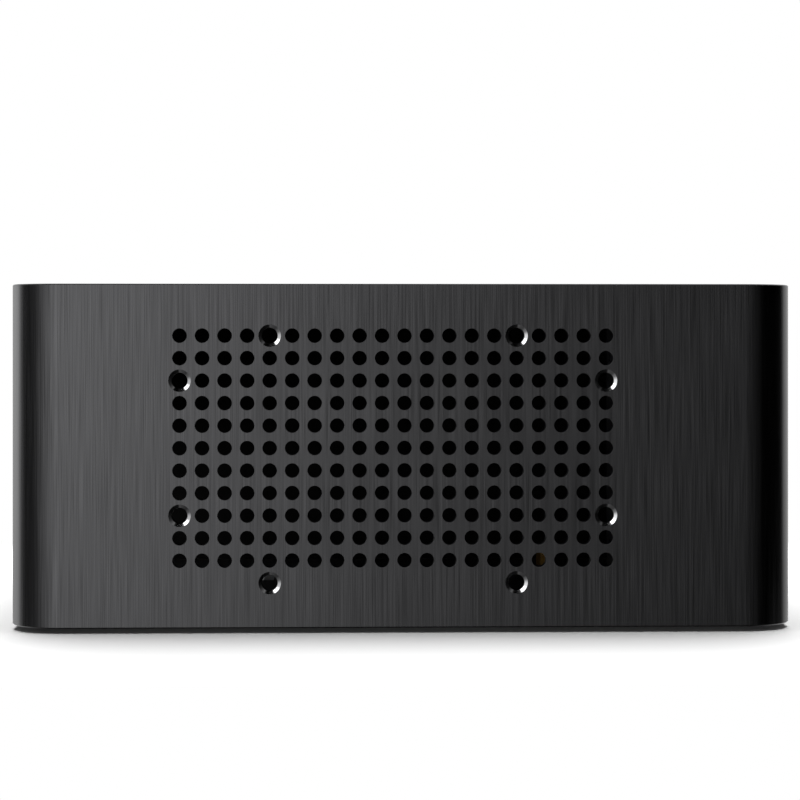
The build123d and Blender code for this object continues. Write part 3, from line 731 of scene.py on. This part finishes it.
def build_switch_body(switch):
    """The switch's body: a turned flange and a threaded barrel with wells for the cap, stem and light ring."""
    form = Form()
    back = switch.flange_depth + switch.barrel_length
    edge, break_edge = 0.35 * MM, 0.1 * MM
    root = switch.barrel - 0.55 * switch.thread
    stem = switch.stem + switch.button_play
    cap = switch.button + switch.button_play
    lit_outer = switch.light_outer + switch.light_play
    lit_inner = switch.light_inner - switch.light_play
    profile = [(0.0, back), (root, back)]
    for turn in range(int(switch.barrel_length / switch.thread) - 1):
        depth = back - (turn + 0.5) * switch.thread
        profile += [(switch.barrel, depth), (root, depth - switch.thread / 2)]
    profile += [(root, switch.flange_depth), (switch.flange, switch.flange_depth)]
    profile += arc(switch.flange - edge, edge, edge, steps=6)
    profile += [(lit_outer, 0.0), (lit_outer, switch.light_depth), (lit_inner, switch.light_depth), (lit_inner, 0.0)]
    profile += [(cap + break_edge, 0.0), (cap, break_edge), (cap, switch.well), (stem, switch.well)]
    profile += [(stem, switch.stem_well), (0.0, switch.stem_well)]
    turned(form, FRONT, switch_place(switch), profile, LARGE)
    return form


def build_button(switch):
    """The button: a turned cap with a shallow dish, whose depth falls as the square of the radius, and a stem."""
    form = Form()
    axis = switch_place(switch)
    face = switch.setback
    back = face + switch.button_thickness
    end = back + switch.stem_length
    edge = 0.4 * MM
    rim = switch.button - edge
    lower = [(0.0, end), (switch.stem, end), (switch.stem, back), (switch.button, back)]
    turned(form, FRONT, axis, lower + arc(rim, face + edge, edge, steps=6), LARGE)
    dish = [(rim * share, face + switch.dish * (1 - share**2)) for share in np.linspace(1.0, 0.0, 12)]
    turned(form, FRONT, axis, dish, LARGE, smooth=True)
    return form


def build_light_ring(switch):
    """The light ring: a frosted ring whose front is a low arc from edge to edge."""
    form = Form()
    axis = switch_place(switch)
    inner, outer, depth = switch.light_inner, switch.light_outer, switch.light_depth
    middle, half = (inner + outer) / 2, (outer - inner) / 2
    fall = 0.18 * MM
    crown = [(middle + half * np.cos(a), fall * (1 - np.sin(a))) for a in np.linspace(0, pi, 9)]
    turned(form, FRONT, axis, [(inner, depth), (outer, depth), crown[0]], LARGE)
    turned(form, FRONT, axis, crown, LARGE, smooth=True)
    turned(form, FRONT, axis, [crown[-1], (inner, depth)], LARGE)
    return form


def build_socket_shell(node):
    """A folded metal socket shell: a tube along a rectangle with round corners."""
    form = Form()
    low, high = ends_of(node)
    span, wide, tall = high - low
    sheet, lip = 0.4 * MM, 0.08 * MM
    outline, away = rounded(middle_of(node, 1, 2), wide / 2, tall / 2, 0.6 * MM, steps=6)
    profile = [(0.0, span), (0.0, lip), (-lip, 0.0), (lip - sheet, 0.0), (-sheet, lip), (-sheet, span), (0.0, span)]
    carried(form, Plane((high[0], 0, 0), NORTH, UP, EAST), outline, away, profile)
    return form


# Operators, one for each piece or group of like pieces


def dress(form, node, finish):
    """Make a form the piece for one node, in the finish of the node's slot."""
    name = "".join(word.title() for word in node.split("_"))
    form.piece(name, [FINISHES[finish]], "case", finish, node)


class DressRing(Operator):
    """Build the brushed ring with its vent, rear window and front openings"""

    bl_idname = "case.ring"
    bl_label = "Ring"

    def execute(self, context):
        scene = context.scene
        form = build_ring(scene.case_ring, scene.case_screws, scene.case_switch)
        # The third finish, for the inside, is darkened as painted shade inside the ring and its holes
        finishes = [FINISHES["anodised_aluminium"], FINISHES["cut"], FINISHES["inside"]]
        form.piece("Ring", finishes, "case", "anodised_aluminium", "shell")
        return {"FINISHED"}


class DressCover(Operator):
    """Build the cover that is let into the ring's upper edge"""

    bl_idname = "case.cover"
    bl_label = "Cover"

    def execute(self, context):
        form = build_cover(context.scene.case_ring, context.scene.case_screws)
        form.piece("TopCover", [FINISHES["cover"]], "case", "anodised_aluminium", "top_cover")
        return {"FINISHED"}


class DressScrews(Operator):
    """Build the flat-head screws of the cover, base, rear panel and brackets"""

    bl_idname = "case.screws"
    bl_label = "Screws"

    def execute(self, context):
        ring, screws = context.scene.case_ring, context.scene.case_screws
        ports = port_places(ring, screws)
        above, below = level(COVER_HIGH[2], 1), level(RING_LOW[2], -1)
        across = screws.head / cos(pi / CAD_HEAD_SIDES)
        ends = []
        for node in ("drive_bracket_screws", "front_io_bracket_screws"):
            low, high = (corner[:2] for corner in ends_of(node))
            ends.append([low + across, high - across])
        drive, front = ends
        drive.append((drive[0] + drive[1]) / 2)
        sets = {
            "top_cover_screws": (above, ports, screws.plate_length),
            "base_plate_screws": (below, ports, screws.plate_length),
            "rear_panel_screws": (REAR, panel_places(screws), screws.panel_length),
            "drive_bracket_screws": (below, drive, screws.bracket_length),
            "front_io_bracket_screws": (below, front, screws.bracket_length),
        }
        for node, (plane, places, length) in sets.items():
            dress(build_flat_screws(plane, places, screws, length), node, "black_screw")
        return {"FINISHED"}


class DressFeet(Operator):
    """Build the four rubber feet"""

    bl_idname = "case.feet"
    bl_label = "Feet"

    def execute(self, context):
        for node in ("foot_front_left", "foot_front_right", "foot_rear_left", "foot_rear_right"):
            dress(build_foot(node), node, "rubber")
        return {"FINISHED"}


class DressPlugs(Operator):
    """Build the plugs of the antenna holes and the power inlet hole"""

    bl_idname = "case.plugs"
    bl_label = "Plugs"

    def execute(self, context):
        for node in ("antenna_plug_left", "antenna_plug_right", "power_inlet_plug"):
            dress(build_plug(node), node, "black_plastic")
        return {"FINISHED"}


class DressSwitch(Operator):
    """Build the power switch: body, button and light ring"""

    bl_idname = "case.switch"
    bl_label = "Power switch"

    def execute(self, context):
        switch = context.scene.case_switch
        metal = [FINISHES["switch_metal"]]
        build_switch_body(switch).piece("SwitchBody", metal, "case", "switch_metal", "power_switch_body")
        build_button(switch).piece("PowerButton", metal, "button", "switch_metal", "power_button")
        lens = [FINISHES["light_ring"]]
        build_light_ring(switch).piece("LightRing", lens, "case", "light_ring", "power_light_ring")
        return {"FINISHED"}


class DressSockets(Operator):
    """Build the folded shells of the two front sockets"""

    bl_idname = "case.sockets"
    bl_label = "Socket shells"

    def execute(self, context):
        for node in ("usb_shell_left", "usb_shell_right"):
            dress(build_socket_shell(node), node, "nickel_shell")
        return {"FINISHED"}


class FinishCarried(Operator):
    """Give every CAD node that stays the finish that the record names for it"""

    bl_idname = "case.finish_carried"
    bl_label = "Finish the other parts"

    def execute(self, context):
        stays = {
            "coated_steel": ("base_plate", "rear_panel", "drive_bracket"),
            "zinc_steel": ("rear_panel_nuts", "front_io_bracket", "front_io_board_screws", "power_switch_nut"),
            "gold_contact": ("power_switch_terminals", "usb_contacts_left", "usb_contacts_right"),
            "black_plastic": ("front_io_header", "usb_insert_left", "usb_insert_right"),
            "brass": ("board_standoffs",),
            "circuit_board": ("front_io_board",),
        }
        for finish, nodes in stays.items():
            for node in nodes:
                for slot in bpy.data.objects[node].material_slots:
                    slot.material = FINISHES[finish]
        return {"FINISHED"}


# The stage


def grey(share):
    """A grey of that linear level."""
    return (share, share, share, 1)


def set_stops(ramp, stops):
    """Set a grey ramp's stops from (place, level) pairs in order."""
    ramp.elements[0].position = stops[0][0]
    ramp.elements[1].position = stops[-1][0]
    for place, _ in stops[1:-1]:
        ramp.elements.new(place)
    for element, (_, share) in zip(ramp.elements, stops):
        element.color = grey(share)


# The level that gloss sees round the horizon, by azimuth in degrees from straight behind the camera, right positive
PANELS = (
    (-180, 0.8), (-150, 0.7), (-132, 1.7), (-118, 2.5), (-108, 1.2), (-98, 0.14), (-66, 0.28), (-54, 0.65),
    (-34, 1.8), (-20, 2.3), (-8, 3.1), (-4, 3.1), (0, 0.85), (4, 0.65), (8, 0.2), (20, 0.25),
    (32, 0.16), (46, 0.03), (52, 0.003), (112, 0.0), (120, 1.0), (150, 0.8), (180, 0.8),
)
BRIGHTEST = 4.0
# How much of it is left by the height of the direction, from straight down, -1, to straight up, 1
HEIGHTS = ((-1, 0.02), (-0.6, 0.03), (-0.32, 0.2), (-0.1, 0.82), (0, 1), (0.63, 1), (0.68, 0.004))
ROOM_LEVEL = 0.85
DIFFUSE_LEVEL = 0.2
PAPER = 0.85


def card(add, toward, direction, there, outer, inner):
    """The level of a soft round card, which falls off between two cosines of the angle from its direction."""
    near = add("VectorMath", (toward, Vector(direction).normalized()), operation="DOT_PRODUCT")
    return add("MapRange", (near.outputs["Value"], outer, inner, 0.0, there))


def build_world():
    """A white studio to the eye. Gloss sees soft panels instead, as a product photographer lights black metal: a
    wide bright one from behind the camera to the left, one behind each end of the case, and dark flats on the right.
    Above and below them, but for the camera's side and straight down, it sees an even pale room."""
    bpy.context.scene.world, add = with_nodes(bpy.data.worlds.new("Studio"))
    toward = add("TexCoord").outputs["Generated"]
    x, y, z = add("SeparateXYZ", (toward,)).outputs
    ahead = add("Math", (y, -1.0), operation="MULTIPLY")
    azimuth = add("Math", (x, ahead), operation="ARCTAN2")
    turn = add("ValToRGB", (add("MapRange", (azimuth, -pi, pi)),))
    set_stops(turn.color_ramp, [((angle + 180) / 360, there / BRIGHTEST) for angle, there in PANELS])
    rise = add("ValToRGB", (add("MapRange", (z, -1.0)),))
    set_stops(rise.color_ramp, [((height + 1) / 2, share) for height, share in HEIGHTS])
    gloss = add("Math", (turn, BRIGHTEST), operation="MULTIPLY")
    # One card high on the left that the sinks' lower right flashes with, and one overhead for the edges
    high_left = card(add, toward, (-0.6, -0.59, 0.54), 1.2, 0.93, 0.98)
    overhead = card(add, toward, (0.0, 0.1, 1.0), 0.7, 0.95, 0.99)
    for part, operation in ((high_left, "ADD"), (rise, "MULTIPLY"), (overhead, "ADD")):
        gloss = add("Math", (gloss, part), operation=operation)
    # Where the even room shows: off the level, away from the camera's side, and off the case's own shadow
    slope = add("Math", (z,), operation="ABSOLUTE")
    room = add("MapRange", (slope, 0.12, 0.2))
    for part, dark, pale in ((y, -0.45, -0.25), (z, -0.95, -0.7)):
        mask = add("MapRange", (part, dark, pale))
        room = add("Math", (room, mask), operation="MULTIPLY")
    gloss = add("MixRGB", (room, gloss, grey(ROOM_LEVEL)))
    path = add("LightPath").outputs
    seen = add("Math", (path["Is Camera Ray"], path["Is Transmission Ray"]), operation="MAXIMUM")
    even = add("MixRGB", (path["Is Glossy Ray"], grey(DIFFUSE_LEVEL), gloss))
    shown = add("MixRGB", (seen, even, grey(1)))
    add("OutputWorld", {"Surface": add("Background", {"Color": shown})})


def build_floor():
    """A wide white floor. Near the case it keeps the shadow; to the eye it turns plain white a little farther out,
    and from below it is clear, so the base can be looked at."""
    finish, add = with_nodes(bpy.data.materials.new("PaperSweep"))
    place = add("SeparateXYZ", (add("TexCoord").outputs["Object"],)).outputs
    past = []
    for axis in (0, 1):
        out = add("Math", (place[axis],), operation="ABSOLUTE")
        past.append(add("Math", (out, RING_HIGH[axis]), operation="SUBTRACT"))
    beyond = add("Math", past, operation="MAXIMUM")
    shadow_end, white_start = 0.05, 0.11
    clear = add("MapRange", (beyond, shadow_end, white_start))
    eye = add("LightPath").outputs["Is Camera Ray"]
    seen = add("Math", (clear, eye), operation="MULTIPLY")
    back = add("NewGeometry").outputs["Backfacing"]
    below = add("Math", (back, eye), operation="MULTIPLY")
    fibre = add("Bump", {"Height": pattern(add, 0.8, 0.8), "Distance": 0.01 * MM, "Strength": 0.2})
    paper = add("BsdfDiffuse", {"Color": grey(PAPER), "Normal": fibre})
    mixed = add("MixShader", {0: seen, 1: paper, 2: add("Emission", {"Strength": 1.0})})
    either = add("MixShader", (below, mixed, add("BsdfTransparent")))
    add("OutputMaterial", {"Surface": either})
    reach = 4.0
    mesh = bpy.data.meshes.new("Floor")
    mesh.from_pydata([(*corner, 0.0) for corner in rectangle((0.0, 0.0), reach, reach)], [], [(0, 1, 2, 3)])
    mesh.materials.append(finish)
    floor = add_object("Floor", mesh)
    floor.visible_glossy = False


class SetStage(Operator):
    """Build the floor, the studio light and the camera at the photograph's angle"""

    bl_idname = "case.stage"
    bl_label = "Stage"

    def execute(self, context):
        build_world()
        build_floor()
        # A wide lamp that looks straight down and isn't seen in the gloss of the case
        light = bpy.data.lights.new("Overhead", "AREA")
        light.shape = "RECTANGLE"
        light.size = 1.3
        light.size_y = 2.5
        light.energy = 71.0
        lamp = add_object("Overhead", light)
        lamp.location = (0.0, 0.95, 1.3)
        lamp.visible_glossy = False
        lamp.visible_camera = False
        lens = bpy.data.cameras.new("Camera")
        lens.lens = 107.34
        lens.sensor_width = 36.0
        lens.shift_y = -0.0627
        lens.clip_end = 20.0
        camera = add_object("Camera", lens)
        camera.location = (-0.0221, -0.795, 0.0819)
        camera.rotation_euler = (radians(90), 0.0, radians(-1.746))
        context.scene.camera = camera
        context.scene.view_settings.view_transform = "Standard"
        return {"FINISHED"}


DRESSING = (DressRing, DressCover, DressScrews, DressFeet, DressPlugs, DressSwitch, DressSockets)
STEPS = (*DRESSING, FinishCarried, SetStage)
GROUPS = {"case_ring": RingSizes, "case_screws": ScrewSizes, "case_switch": SwitchSizes, "case_finishes": Finishes}


class CasePanel(Panel):
    """Lists the steps that dress the case, and its sizes and colours"""

    bl_idname = "VIEW3D_PT_case"
    bl_label = "Mini-ITX case"
    bl_space_type = "VIEW_3D"
    bl_region_type = "UI"
    bl_category = "Case"

    def draw(self, context):
        for step in STEPS:
            self.layout.operator(step.bl_idname)
        for name, group in GROUPS.items():
            box = self.layout.box()
            for size_name in group.__annotations__:
                box.prop(getattr(context.scene, name), size_name)


CLASSES = (*GROUPS.values(), *STEPS, CasePanel)


def register():
    """Register the classes and hang the sizes on the scene."""
    for item in CLASSES:
        bpy.utils.register_class(item)
    for name, group in GROUPS.items():
        setattr(bpy.types.Scene, name, PointerProperty(type=group))


def unregister():
    """Take the sizes off the scene and unregister the classes."""
    for name in GROUPS:
        delattr(bpy.types.Scene, name)
    for item in reversed(CLASSES):
        bpy.utils.unregister_class(item)


def main():
    """Dress the case step by step."""
    register()
    make_finishes(bpy.context.scene.case_finishes)
    for step in STEPS:
        getattr(bpy.ops.case, step.bl_idname.split(".")[1])()


if __name__ == "__main__":
    main()
